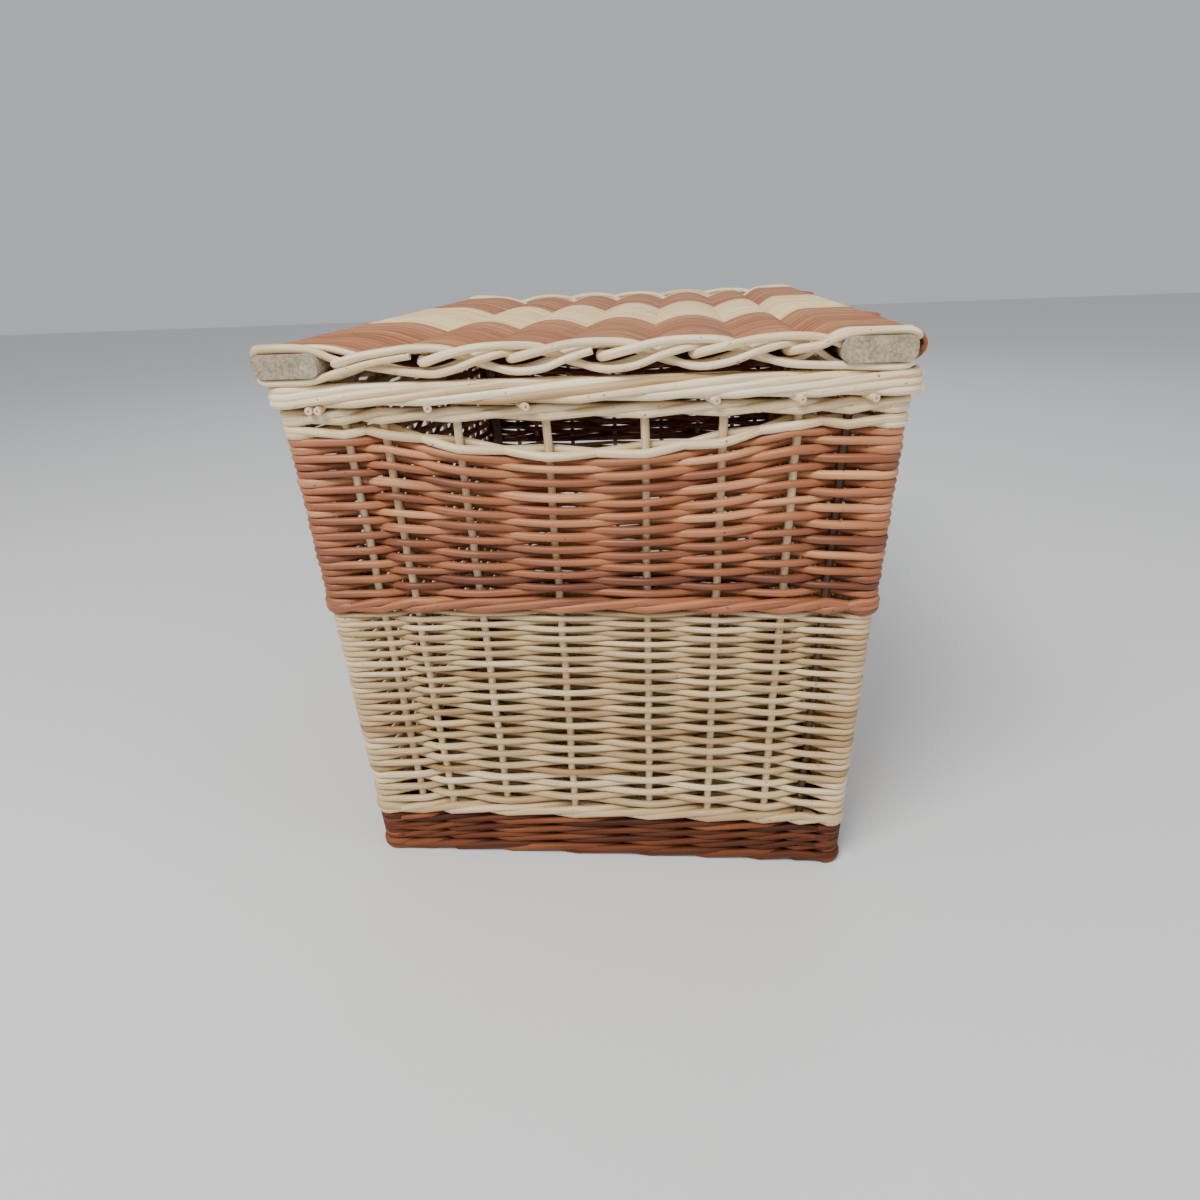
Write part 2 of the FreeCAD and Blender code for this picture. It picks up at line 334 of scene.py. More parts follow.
def pairing(rods, height, radius, twist):
    """Two rods that cross between the uprights and hold each one between them."""
    for strand in range(2):
        insets, rises, hidden = [None] * 4, [None] * 4, []
        station, turn = 0, 0
        for wall in ORDER:
            count = len(UPRIGHTS[wall]) + 2
            sign = np.where((turn + np.arange(count) + strand) % 2, -1.0, 1.0)
            inset = np.where(sign > 0, outside(radius), inside(radius))
            inset[[0, -1]] = corner_inset(radius)
            insets[wall] = inset
            rises[wall] = -sign * twist
            hidden += list(station + np.flatnonzero(sign < 0))
            station += count
            turn += count - 1
        path, stations = wall_path(height, insets, rises)
        rods.add(path, radius, rod_tones(stations, 0.15, hidden), closed=True)


def level_height(level):
    return lambda wall, place: np.full_like(place, level)


def sagging_height(level, share):
    return lambda wall, place: level - share * sag_at(wall, place)


def brown_wall():
    rods = Rods()
    rows = 21
    for number in range(rows):
        share = (number + 0.5) / rows
        level = BROWN[0] + share * (BROWN[1] - BROWN[0])
        randing(rods, number, sagging_height(level, share), 2.75 + rng.normal(0, 0.1), BROWN_TALL,
                mean=0.34 + 0.16 * share)
    rods.build("brown_wall_rods", brown, "basket", "buff_willow", "brown_band")


def cream_wall():
    rods = Rods()
    rows = 35
    for number in range(rows):
        share = (number + 0.5) / rows
        # rows are thicker and further apart towards the foot
        level = CREAM[0] + (CREAM[1] - CREAM[0]) * share * (1.24 - 0.24 * share)
        radius = 2.5 - 0.62 * share + rng.normal(0, 0.08)
        randing(rods, number, level_height(level), radius, CREAM_TALL)
    rods.build("cream_wall_rods", cream, "basket", "white_willow", "cream_band")


def foot_wall():
    rods = Rods()
    wale(rods, level_height(5.4), 3.4, 2.2)
    for level in (15.0, 24.0, 33.0):
        wale(rods, level_height(level), 2.5, 3.0, spread=0.3)
    # the foot's material is darkened partly by painted shade
    rods.build("foot_rods", foot_brown_and_painted_shade, "basket", "buff_willow", "foot_band")


def wales():
    for name, node, material, slot, (low, high), radius, climb, mean in (
        ("lower_wale_rods", "lower_wale", cream, "white_willow", LOWER_WALE, 3.2, 2.8, 0.5),
        ("middle_wale_rods", "middle_wale", brown, "buff_willow", MIDDLE_WALE, 3.5, 3.2, 0.2),
        ("upper_wale_rods", "upper_wale", cream_rim, "white_willow", UPPER_WALE, 3.0, 2.9, 0.5),
    ):
        rods = Rods()
        wale(rods, level_height((low + high) / 2), radius, climb, mean=mean)
        rods.build(name, material, "basket", slot, node)
    rods = Rods()
    pairing(rods, sagging_height(HANDLE_WALE[1] - 3.4, 1.0), 3.1, 1.8)
    rods.build("handle_wale_rods", cream_rim, "basket", "white_willow", "handle_wale")


def stakes():
    low, high = 4.0, BORDER[0] + 6
    for wall, node in enumerate(("front_stakes", "right_stakes", "rear_stakes", "left_stakes")):
        rods = Rods()
        outward, forward, places = (np.array(value) for value in WALLS[wall])
        for place in places:
            heights = np.linspace(low, high, 24)
            half = half_sizes(heights)
            along = place * (np.abs(half @ forward) - STAKE_INSET) + rng.normal(0, 0.25, len(heights))
            out = np.abs(half @ outward) - STAKE_INSET
            path = np.column_stack((along[:, None] * forward + out[:, None] * outward, heights))
            # the upright nearest the hinge corner of each short wall is painted near-black: painted shade
            # standing for the deep shadow in the gap by the corner post
            tone = 0.0 if wall % 2 == 0 and abs(place) > HINGE_CORNER_SHARE else rng.uniform(0.5, 0.8)
            rods.add(path, STAKE_RADIUS + 0.05, tone, up=(*outward, 0))
        rods.build(f"{node}_rods", upright, "basket", "white_willow", node)


# ---------------------------------------------------------------- rolled border

def border():
    """Strands roll over each other round three walls, each rising slowly across the outside
    and turning in over the top. The hinge side is flatter, so that its outer top rod is free."""
    turns = ((4.0, -4.6), (-4.5, -4.5), (-4.1, -0.2), (-2.8, 4.2), (3.2, 4.5), (9.6, 3.9), (13.0, -1.6))
    spacing = 50.0
    middle = (BORDER[0] + BORDER[1]) / 2 + 0.1
    walls = (2, 3, 0)
    uprights = []
    for side in (0, 1, 0, 1):
        count = int(round(2 * rim_corner[side] / spacing))
        uprights.append(np.linspace(-1, 1, count + 1)[1:-1])
    rods = Rods()
    for strand in range(len(turns)):
        insets, rises, hidden = [None] * 4, [None] * 4, []
        station, turn = 0, 0
        for wall in walls:
            count = len(uprights[wall]) + 2
            phase = (turn + np.arange(count) - strand) % len(turns)
            insets[wall] = np.array([turns[p][0] for p in phase]) + rng.normal(0, 0.25, count)
            rises[wall] = np.array([turns[p][1] for p in phase]) + rng.normal(0, 0.25, count)
            insets[wall][[0, -1]] = np.minimum(insets[wall][[0, -1]], POST_INSET - 3)
            hidden += list(station + np.flatnonzero(phase == len(turns) - 1))
            station += count
            turn += count - 1
        insets[1] = insets[0][-1:] * np.ones(2)
        rises[1] = rises[0][-1:] * np.ones(2)
        path, stations = wall_path(level_height(middle), insets, rises, walls, uprights)
        rods.add(path, 2.95, rod_tones(stations, 0.32, hidden))
    border_ends(rods)
    side_x = box_mm("rim_border")[1][0]
    reach = box_mm("rim_border")[1][1] - 10
    along = np.linspace(-reach, reach, 90)
    hinge_side = ((3.6, 379.0, 3.1), (10.5, 379.6, 3.3), (18.0, 380.0, 3.6))
    for inset, level, radius in hinge_side:
        x = side_x - inset
        wave = np.sin(along / 38 + x)
        rods.add(np.column_stack((x + wave * 0.8, along, level + wave * 0.3)), radius, rng.uniform(0.4, 0.6))
    half_loop, clear = 5.5, 2.2
    stops = [-reach]
    for node in ("hinge_loop_front", "hinge_loop_rear"):
        low, high = box_mm(node)
        centre = (low[1] + high[1]) / 2
        stops += [centre - half_loop - clear, centre + half_loop + clear]
    stops.append(reach)
    for near, far in zip(stops[::2], stops[1::2]):
        along = np.linspace(near, far, max(8, int((far - near) / 7)))
        for strand in (0, math.pi):
            turn = along / 30 + strand
            x = side_x - 14.5 + 3.8 * np.cos(turn)
            z = BORDER[1] - 5.6 + 1.6 * np.sin(turn)
            rods.add(np.column_stack((x, along, z)), 3.5, rng.uniform(0.4, 0.65))
    rods.build("border_rods", cream_rim, "basket", "white_willow", "rim_border")


def border_ends(rods):
    """Trimmed ends of the rods that come out under the rolled border."""
    short = (-176, -169.5, -97, -34, 84, 135, 178)
    for wall, places in ((0, short), (2, short), (3, np.arange(-240, 241, 53))):
        outward, forward = (np.array(value) for value in WALLS[wall][:2])
        for number, place in enumerate(places):
            slant = 0.0 if number < 2 else rng.uniform(5, 11)
            level = BORDER[0] - rng.uniform(0.2, 1.2)
            share = np.linspace(0, 1, 6)[:, None]
            half = np.abs(half_sizes(level) @ outward)
            out = half - 8 + share * rng.uniform(14.5, 16)
            along = place - slant * (1 - share)
            path = np.column_stack((along * forward + out * outward, level + 1.5 - 1.5 * share))
            rods.add(path, 2.6, rng.uniform(0.4, 0.6))


# ---------------------------------------------------------------- lid

LID_BODY = "lid"
LID_MIDDLE = (levels("lid_bar_left")[0] + levels("lid_bar_left")[1]) / 2
BAR_HALF_THICKNESS = (levels("lid_bar_left")[1] - levels("lid_bar_left")[0]) / 2
LID_TONE_SPREAD = 0.1
LID_PITCH = 2.35
LID_ROD_RADIUS = 1.45
LID_ROD_TALL = 1.64
RIBS = [f"lid_rib_{number}" for number in range(1, 6)]


def lid_elements():
    """Centre and half width, across the lid, of each bar and rib that the weave passes."""
    elements = []
    for node in ["lid_bar_left"] + RIBS + ["lid_bar_right"]:
        low, high = box_mm(node)
        elements.append(((low[0] + high[0]) / 2, (high[0] - low[0]) / 2))
    return elements


def weave_profile(over, elements, bar_lift, rib_lift, middle):
    """Stations and levels of one rod that passes over or under each element in turn."""
    places, values = [], []
    for number, (centre, half) in enumerate(elements):
        is_bar = number in (0, len(elements) - 1)
        lift = bar_lift if is_bar else rib_lift
        sign = 1 if (number % 2 == 0) == over else -1
        flat = half - BAR_EDGE if is_bar else 1.5
        places += [centre - flat, centre + flat]
        values += [middle + sign * lift] * 2
    return np.array(places), np.array(values)


def turning_room(elements, low, high, radius):
    """How far a rod's turn may reach past the flat of the outer bars, at each side."""
    left = elements[0][0] - elements[0][1] + BAR_EDGE
    right = elements[-1][0] + elements[-1][1] - BAR_EDGE
    return left - low[0] - radius, high[0] - right - radius


def plain_weave(rods, elements, near, far, pitch, radius, wide, lifts, middle, bulge):
    """Rods from side to side that turn back round the outer bars."""
    rows = int(round((far - near) / pitch))
    pitch = (far - near) / rows
    bar_lift, rib_lift = lifts
    tone = rng.normal(0.5, LID_TONE_SPREAD)
    for row in range(rows):
        over = row % 2 == 0
        y = near + (row + 0.5) * pitch
        places, values = weave_profile(over, elements, bar_lift, rib_lift, middle)
        x = np.linspace(places[0], places[-1], 76)
        z = eased(places, values, x)
        left_y = y + (pitch / 2 if not over else -pitch / 2)
        right_y = y + (pitch / 2 if over else -pitch / 2)
        side = 1 if over else -1
        turn = np.linspace(0, np.pi / 2, 6)[1:]
        left_edge, right_edge = places[0], places[-1]
        left = np.column_stack((left_edge - bulge[0] * np.sin(turn),
                                y + (left_y - y) * turn * 2 / np.pi,
                                middle + side * bar_lift * np.cos(turn)))[::-1]
        right = np.column_stack((right_edge + bulge[1] * np.sin(turn),
                                 y + (right_y - y) * turn * 2 / np.pi,
                                 middle + side * bar_lift * np.cos(turn)))
        wobble = rng.normal(0, 0.12)
        centre = np.column_stack((x, np.full_like(x, y + wobble), z))
        if row % 2 == 0 and rng.random() < 0.3:
            tone = rng.normal(0.5, LID_TONE_SPREAD)
        row_tone = float(np.clip(tone + rng.normal(0, 0.13), 0, 1))
        rods.add(np.vstack((left, centre, right)), radius, row_tone, up=(0, 1, 0), wide=wide, sides=6)


def lid_weave():
    elements = lid_elements()
    for name, node, material, slot in (
        ("lid_front_rods", "lid_front_brown_band", brown_fine, "buff_willow"),
        ("lid_middle_rods", "lid_cream_band", cream_fine, "white_willow"),
        ("lid_rear_rods", "lid_rear_brown_band", brown_fine, "buff_willow"),
    ):
        low, high = box_mm(node)
        radius = LID_ROD_RADIUS
        bulge = turning_room(elements, low, high, radius)
        lifts = (BAR_HALF_THICKNESS + radius, 4 + radius + 1.6)
        rods = Rods()
        plain_weave(rods, elements, low[1], high[1], LID_PITCH, radius, LID_ROD_TALL, lifts, LID_MIDDLE, bulge)
        rods.build(name, material, LID_BODY, slot, node)


def lid_ribs():
    for node in RIBS:
        low, high = box_mm(node)
        centre = (low[0] + high[0]) / 2
        radius = (high[0] - low[0]) / 2
        along = np.linspace(low[1] + 12, high[1] - 12, 60)
        path = np.column_stack((centre + rng.normal(0, 0.2, 60), along, np.full(60, LID_MIDDLE)))
        rods = Rods()
        rods.add(path, radius - 0.1, rng.uniform(0.4, 0.6))
        rods.build(f"{node}_rod", cream, LID_BODY, "white_willow", node)


def smooth_path(points, count):
    """A curve through all the points."""
    points = np.asarray(points, float)
    slopes = np.gradient(points, axis=0)
    at = np.linspace(0, len(points) - 1, count)
    index = np.minimum(at.astype(int), len(points) - 2)
    t = (at - index)[:, None]
    near, far = points[index], points[index + 1]
    return ((2 * t ** 3 - 3 * t ** 2 + 1) * near + (t ** 3 - 2 * t ** 2 + t) * slopes[index]
            + (3 * t ** 2 - 2 * t ** 3) * far + (t ** 3 - t ** 2) * slopes[index + 1])


# How a lid rod's end is laid down: share of the way to the next rib, level, inset from the edge.
START = ((0.0, -0.2, 16.0), (0.01, 0.0, 9.0), (0.09, 0.8, 4.6), (0.32, 3.8, 3.5), (0.65, 7.4, 3.3))
OVER = ((1.0, 8.6, 4.0), (1.35, 6.4, 6.2), (1.65, -1.0, 9.4))
UNDER = ((2.0, -7.4, 6.0), (2.35, -5.6, 3.3), (2.65, 0.0, 3.0))
END = ((2.92, 4.2, 3.0),)
TUCK = ((2.9, 3.4, 3.6), (3.06, 4.4, 8.0), (3.2, 4.6, 11.0))


def lid_ends():
    """At each end of the lid every rod turns sideways, goes over one rib and under the next,
    and is trimmed in front of the one after."""
    elements = lid_elements()
    centres = [centre for centre, _ in elements]
    spacing = centres[2] - centres[1]
    bar_left = elements[0][0] - elements[0][1], elements[0][0] + elements[0][1]
    bar_right = elements[-1][0] - elements[-1][1], elements[-1][0] + elements[-1][1]
    starts = [centres[1] - spacing] + centres[1:-1]
    over_bar = BAR_HALF_THICKNESS + 2.6

    def laid(start, steps):
        return [(start + share * spacing, level, inset) for share, level, inset in steps]

    paths = [laid(start, START + OVER + UNDER + last) for start, last in zip(starts, (END, TUCK, TUCK))]
    fourth, fifth, sixth = starts[3:]
    paths.append(laid(fourth, START + OVER + UNDER[:1])
                 + [(bar_right[0] + 6, -over_bar, 5.4), (bar_right[0] + 24, -over_bar, 3.4),
                    (bar_right[1] - 7, -over_bar, 3.2), (bar_right[1] - 1, 1.8 - over_bar, 5)])
    paths.append(laid(fifth, START + OVER)
                 + [(bar_right[0] + 4, -over_bar, 11), (bar_right[0] + 22, -over_bar, 9.4),
                    (bar_right[1] - 7, -over_bar, 9.2), (bar_right[1] - 1, 1.8 - over_bar, 9.6)])
    paths.append(laid(sixth, START[:4])
                 + [(bar_right[0] - 1, over_bar - 2.4, 3.6), (bar_right[0] + 13, over_bar, 3.6),
                    (bar_right[1] - 8, over_bar, 3.6), (bar_right[1] - 1, over_bar - 1.6, 4.4),
                    (bar_right[1] + 1.5, over_bar - 4.4, 8)])
    paths.append([(bar_left[0] + 0.5, over_bar - 3.4, 9), (bar_left[0] + 2.5, over_bar - 1.4, 4.6),
                  (bar_left[0] + 7, over_bar, 3.6), (bar_left[1] - 12, over_bar, 3.6),
                  (bar_left[1] - 1, over_bar - 3, 5), (bar_left[1] + 16, 0.5, 8.4)]
                 + laid(starts[0] - spacing, UNDER + TUCK))
    paths.append([(bar_left[0] + 1.5, 3.4 - over_bar, 9), (bar_left[0] + 3.5, 1.4 - over_bar, 4.6),
                  (bar_left[0] + 9, -over_bar, 3.6), (bar_left[1] - 8, -over_bar, 3.4),
                  (bar_left[1] + 10, -5.4, 3.2), (bar_left[1] + 34, 0.4, 3.2), (centres[1] - 5, 4.0, 3.2)])
    for node, sign in (("lid_front_twist", -1), ("lid_rear_twist", 1)):
        edge = box_mm("lid_rear_twist")[1][1]
        rods = Rods()
        for path in paths:
            x, level, inset = np.array(path).T
            level = level + rng.normal(0, 0.25, len(level))
            curve = smooth_path(np.column_stack((x, sign * (edge - inset), LID_MIDDLE + level)), 60)
            radius = np.interp(np.arange(60), (0, 7, 20, 59), (3.6, 3.2, 2.6, 2.25)) * rng.uniform(0.95, 1.05)
            rods.add(curve, radius, rng.uniform(0.35, 0.75), up=(0, 1, 0.05))
        for over in (True, False):
            places, values = weave_profile(over, elements, BAR_HALF_THICKNESS + 2.1, 6.4, LID_MIDDLE)
            x = np.linspace(bar_left[0] + 2, bar_right[1] - 2, 120)
            z = eased(places, values, np.clip(x, places[0], places[-1]))
            y = np.full_like(x, sign * (edge - 12.0))
            rods.add(np.column_stack((x, y, z)), 2.2, rng.uniform(0.35, 0.75), up=(0, 1, 0))
        rods.build(f"{node}_rods", cream_rim, LID_BODY, "white_willow", node)


def rounded_bar(node, roundness):
    """A wooden bar with softened edges and roughly sawn ends."""
    low, high = box_mm(node)
    size, middle = (high - low), (high + low) / 2
    mesh = bpy.data.meshes.new(f"{node}_wood")
    outline = []
    half_x, half_z = size[0] / 2, size[2] / 2
    for corner, (sx, sz) in enumerate(((1, 1), (-1, 1), (-1, -1), (1, -1))):
        for share in np.linspace(0, 1, 6):
            angle = (corner + share) * math.pi / 2
            outline.append(((half_x - roundness) * sx + roundness * math.cos(angle),
                            (half_z - roundness) * sz + roundness * math.sin(angle)))
    outline = np.array(outline)
    count, rings = len(outline), 40
    points = []
    for y in np.linspace(low[1], high[1], rings):
        wander = 1 + rng.normal(0, 0.004, (count, 1))
        ring = outline * wander
        points.append(np.column_stack((ring[:, 0] + middle[0], np.full(count, y), ring[:, 1] + middle[2])))
    faces = []
    for ring in range(rings - 1):
        near, far = ring * count, (ring + 1) * count
        for i in range(count):
            after = (i + 1) % count
            faces.append((near + i, near + after, far + after, far + i))
    faces.append(tuple(range(count))[::-1])
    faces.append(tuple((rings - 1) * count + i for i in range(count)))
    mesh.from_pydata((np.vstack(points) * MM).tolist(), [], faces)
    mesh.materials.append(sawn)
    piece = bpy.data.objects.new(f"{node}_wood", mesh)
    bpy.context.scene.collection.objects.link(piece)
    mesh.polygons.foreach_set("use_smooth", np.array([len(f) == 4 for f in faces]))
    settle(piece, LID_BODY, "sawn_wood", node)


def hinge_loops():
    """A strand wound round the hinge rod and the lid's bar."""
    rod_low, rod_high = box_mm("hinge_rod")
    axis_x, axis_z = (rod_low[0] + rod_high[0]) / 2, (rod_low[2] + rod_high[2]) / 2
    rod_radius = (rod_high[2] - rod_low[2]) / 2
    bar_low, _ = box_mm("lid_bar_right")
    for node in ("hinge_loop_front", "hinge_loop_rear"):
        low, high = box_mm(node)
        radius = 1.7
        reach = rod_radius + 0.35 + radius
        inner, outer = bar_low[0] - radius, high[0] - radius
        under, top = levels("lid_front_brown_band")[0] - radius, high[2] - radius - 2.6
        angles = np.radians(np.linspace(0, -180, 9))
        turn = [(axis_x + reach * math.cos(a), axis_z + reach * math.sin(a)) for a in angles]
        turn += [(inner + 6, under - 0.5), (inner + 1, under + 1.5), (inner, under + 6), (inner, top - 6),
                 (inner + 2, top - 1), (inner + 7, top), (outer - 12, top), (outer - 3, top - 1.5),
                 (outer, top - 7), (outer, axis_z + 6)]
        outline = np.array(turn * 3)
        share = np.linspace(0, 1, len(outline))
        y = low[1] + radius + share * (high[1] - low[1] - 2 * radius)
        rods = Rods()
        rods.add(np.column_stack((outline[:, 0], y, outline[:, 1])), radius, 0.5, up=(0, 1, 0))
        rods.build(f"{node}_strand", brown, LID_BODY, "buff_willow", node)


# ---------------------------------------------------------------- base

def base():
    low, high = box_mm("base_weave")
    bars = [box_mm("base_bar_left"), box_mm("base_bar_right")]
    ribs = np.linspace(box_mm("base_ribs")[0][0] + 4, box_mm("base_ribs")[1][0] - 4, 5)
    elements = [((bars[0][0][0] + bars[0][1][0]) / 2, (bars[0][1][0] - bars[0][0][0]) / 2)]
    elements += [(x, 4.0) for x in ribs]
    elements.append(((bars[1][0][0] + bars[1][1][0]) / 2, (bars[1][1][0] - bars[1][0][0]) / 2))
    middle = (low[2] + high[2]) / 2
    radius = 2.0
    bulge = turning_room(elements, low, high, radius)
    rods = Rods()
    plain_weave(rods, elements, low[1], high[1], 4.6, radius, 1.2, (8.0, 6.2), middle, bulge)
    rods.build("base_rods", cream_fine, "basket", "white_willow", "base_weave")


def straight_rods():
    """The hinge rod and the ribs of the base are plain willow rods."""
    low, high = box_mm("hinge_rod")
    middle, radius = (low + high) / 2, (high[2] - low[2]) / 2
    along = np.linspace(low[1], high[1], 80)
    rods = Rods()
    rods.add(np.column_stack((np.full(80, middle[0]), along, np.full(80, middle[2]))), radius, 0.5)
    rods.build("hinge_rod_willow", cream_rim, "basket", "white_willow", "hinge_rod")
    low, high = box_mm("base_ribs")
    radius = (high[2] - low[2]) / 2
    along = np.linspace(low[1], high[1], 80)
    rods = Rods()
    for x in np.linspace(low[0] + radius, high[0] - radius, 5):
        path = np.column_stack((x + rng.normal(0, 0.2, 80), along, np.full(80, low[2] + radius)))
        rods.add(path, radius - 0.1, rng.uniform(0.4, 0.6))
    rods.build("base_rib_rods", cream, "basket", "white_willow", "base_ribs")


def dress_frame_nodes():
    """Frame nodes whose shape is already right get their own finish."""
    for node in ("corner_post_front_left", "corner_post_front_right", "corner_post_rear_left",
                 "corner_post_rear_right", "base_bar_left", "base_bar_right"):
        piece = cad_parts[node]
        piece.data.materials.clear()
        piece.data.materials.append(sawn)


# ---------------------------------------------------------------- materials

def node_tree(name):
    material = bpy.data.materials.new(name)
    material.use_nodes = True
    return material, material.node_tree.nodes, material.node_tree.links


def make_node(nodes, kind, **settings):
    node = nodes.new(kind)
    for key, value in settings.items():
        if key in node.inputs:
            node.inputs[key].default_value = value
        else:
            setattr(node, key, value)
    return node


def ramp(nodes, stops):
    node = nodes.new("ShaderNodeValToRGB")
    while len(node.color_ramp.elements) < len(stops):
        node.color_ramp.elements.new(0.5)
    for element, (place, colour) in zip(node.color_ramp.elements, stops):
        element.position = place
        element.color = (*colour, 1)
    return node


def mix_colour(nodes, links, kind, share, first, second):
    node = nodes.new("ShaderNodeMix")
    node.data_type = "RGBA"
    node.blend_type = kind
    for socket, value in ((0, share), (6, first), (7, second)):
        if hasattr(value, "links"):
            links.new(value, node.inputs[socket])
        else:
            node.inputs[socket].default_value = value
    return node.outputs[2]


def willow(name, stops, knot, pith, gloss=1.0):
    """Stripped willow: a tone per rod, fibres along it, dark buds and a paler cut end."""
    material, nodes, links = node_tree(name)
    shader = nodes["Principled BSDF"]
    tone = make_node(nodes, "ShaderNodeAttribute", attribute_name="tone")
    grain = make_node(nodes, "ShaderNodeAttribute", attribute_name="grain")
    cut = make_node(nodes, "ShaderNodeAttribute", attribute_name="cut")
    fibre_space = make_node(nodes, "ShaderNodeMapping", Scale=(22, 900, 900))
    links.new(grain.outputs["Vector"], fibre_space.inputs["Vector"])
    fibre = make_node(nodes, "ShaderNodeTexNoise", Scale=1.0, Detail=4.0, Roughness=0.6)
    links.new(fibre_space.outputs["Vector"], fibre.inputs["Vector"])
    patch_space = make_node(nodes, "ShaderNodeMapping", Scale=(9, 60, 60))
    links.new(grain.outputs["Vector"], patch_space.inputs["Vector"])
    patch = make_node(nodes, "ShaderNodeTexNoise", Scale=1.0, Detail=2.0)
    links.new(patch_space.outputs["Vector"], patch.inputs["Vector"])
    drift = make_node(nodes, "ShaderNodeMath", operation="MULTIPLY_ADD")
    links.new(patch.outputs["Fac"], drift.inputs[0])
    drift.inputs[1].default_value = 1.3
    drift.inputs[2].default_value = -0.65
    level = make_node(nodes, "ShaderNodeMath", operation="ADD", use_clamp=True)
    links.new(tone.outputs["Fac"], level.inputs[0])
    links.new(drift.outputs[0], level.inputs[1])
    colours = ramp(nodes, stops)
    links.new(level.outputs[0], colours.inputs["Fac"])
    streaks = ramp(nodes, ((0.3, (0.55, 0.52, 0.50)), (0.58, (1.0, 1.0, 1.0))))
    links.new(fibre.outputs["Fac"], streaks.inputs["Fac"])
    colour = mix_colour(nodes, links, "MULTIPLY", 0.75, colours.outputs["Color"], streaks.outputs["Color"])
    bud_space = make_node(nodes, "ShaderNodeMapping", Scale=(210, 420, 420))
    links.new(grain.outputs["Vector"], bud_space.inputs["Vector"])
    bud = make_node(nodes, "ShaderNodeTexNoise", Scale=1.0, Detail=1.0)
    links.new(bud_space.outputs["Vector"], bud.inputs["Vector"])
    bud_mask = ramp(nodes, ((0.72, (0, 0, 0)), (0.77, (1, 1, 1))))
    links.new(bud.outputs["Fac"], bud_mask.inputs["Fac"])
    colour = mix_colour(nodes, links, "MIX", bud_mask.outputs["Color"], colour, (*knot, 1))
    end = make_node(nodes, "ShaderNodeMath", operation="MULTIPLY", use_clamp=True)
    links.new(cut.outputs["Fac"], end.inputs[0])
    end.inputs[1].default_value = 1.0
    colour = mix_colour(nodes, links, "MIX", end.outputs[0], colour, (*pith, 1))
    core = make_node(nodes, "ShaderNodeMapRange")
    links.new(cut.outputs["Fac"], core.inputs["Value"])
    core.inputs["From Min"].default_value = 1.6
    core.inputs["From Max"].default_value = 1.8
    colour = mix_colour(nodes, links, "MIX", core.outputs["Result"], colour, (*knot, 1))
    links.new(colour, shader.inputs["Base Color"])
    rough = make_node(nodes, "ShaderNodeMapRange")
    links.new(fibre.outputs["Fac"], rough.inputs["Value"])
    rough.inputs["To Min"].default_value = 0.66 - 0.26 * gloss
    rough.inputs["To Max"].default_value = 0.80 - 0.22 * gloss
    shader.inputs["Specular IOR Level"].default_value = 0.5 * gloss
    links.new(rough.outputs["Result"], shader.inputs["Roughness"])
    bump = make_node(nodes, "ShaderNodeBump", Strength=0.25, Distance=0.0004)
    links.new(fibre.outputs["Fac"], bump.inputs["Height"])
    links.new(bump.outputs["Normal"], shader.inputs["Normal"])
    return material


def timber(name, dark, light):
    """Plain sawn wood with long grain and rough saw marks."""
    material, nodes, links = node_tree(name)
    shader = nodes["Principled BSDF"]
    place = make_node(nodes, "ShaderNodeTexCoord")
    space = make_node(nodes, "ShaderNodeMapping", Scale=(160, 6, 160))
    links.new(place.outputs["Object"], space.inputs["Vector"])
    grain = make_node(nodes, "ShaderNodeTexNoise", Scale=1.0, Detail=5.0, Roughness=0.65)
    links.new(space.outputs["Vector"], grain.inputs["Vector"])
    speck = make_node(nodes, "ShaderNodeTexNoise", Scale=520.0, Detail=4.0, Roughness=0.7)
    links.new(place.outputs["Object"], speck.inputs["Vector"])
    colours = ramp(nodes, ((0.25, dark), (0.7, light)))
    links.new(grain.outputs["Fac"], colours.inputs["Fac"])
    specks = ramp(nodes, ((0.35, (0.6, 0.6, 0.6)), (0.6, (1.05, 1.05, 1.05))))
    links.new(speck.outputs["Fac"], specks.inputs["Fac"])
    colour = mix_colour(nodes, links, "MULTIPLY", 1.0, colours.outputs["Color"], specks.outputs["Color"])
    links.new(colour, shader.inputs["Base Color"])
    shader.inputs["Roughness"].default_value = 0.85
    bump = make_node(nodes, "ShaderNodeBump", Strength=0.7, Distance=0.0012)
    links.new(speck.outputs["Fac"], bump.inputs["Height"])
    links.new(bump.outputs["Normal"], shader.inputs["Normal"])
    return material


def plain(name, colour, roughness):
    material, nodes, _ = node_tree(name)
    nodes["Principled BSDF"].inputs["Base Color"].default_value = (*colour, 1)
    nodes["Principled BSDF"].inputs["Roughness"].default_value = roughness
    return material


BROWN_STOPS = ((0.0, (0.16, 0.043, 0.015)), (0.5, (0.41, 0.142, 0.056)), (1.0, (0.72, 0.35, 0.165)))
# The foot's stops are darker than the wall's brown partly as the willow's own colour and partly as painted
# shade low down by the floor.
FOOT_STOPS = ((0.0, (0.055, 0.012, 0.004)), (0.5, (0.135, 0.034, 0.010)), (1.0, (0.30, 0.095, 0.034)))
CREAM_STOPS = ((0.0, (0.38, 0.22, 0.09)), (0.5, (0.62, 0.435, 0.225)), (1.0, (0.86, 0.69, 0.44)))
RIM_STOPS = ((0.0, (0.52, 0.33, 0.15)), (0.45, (0.86, 0.67, 0.40)), (1.0, (0.96, 0.84, 0.60)))
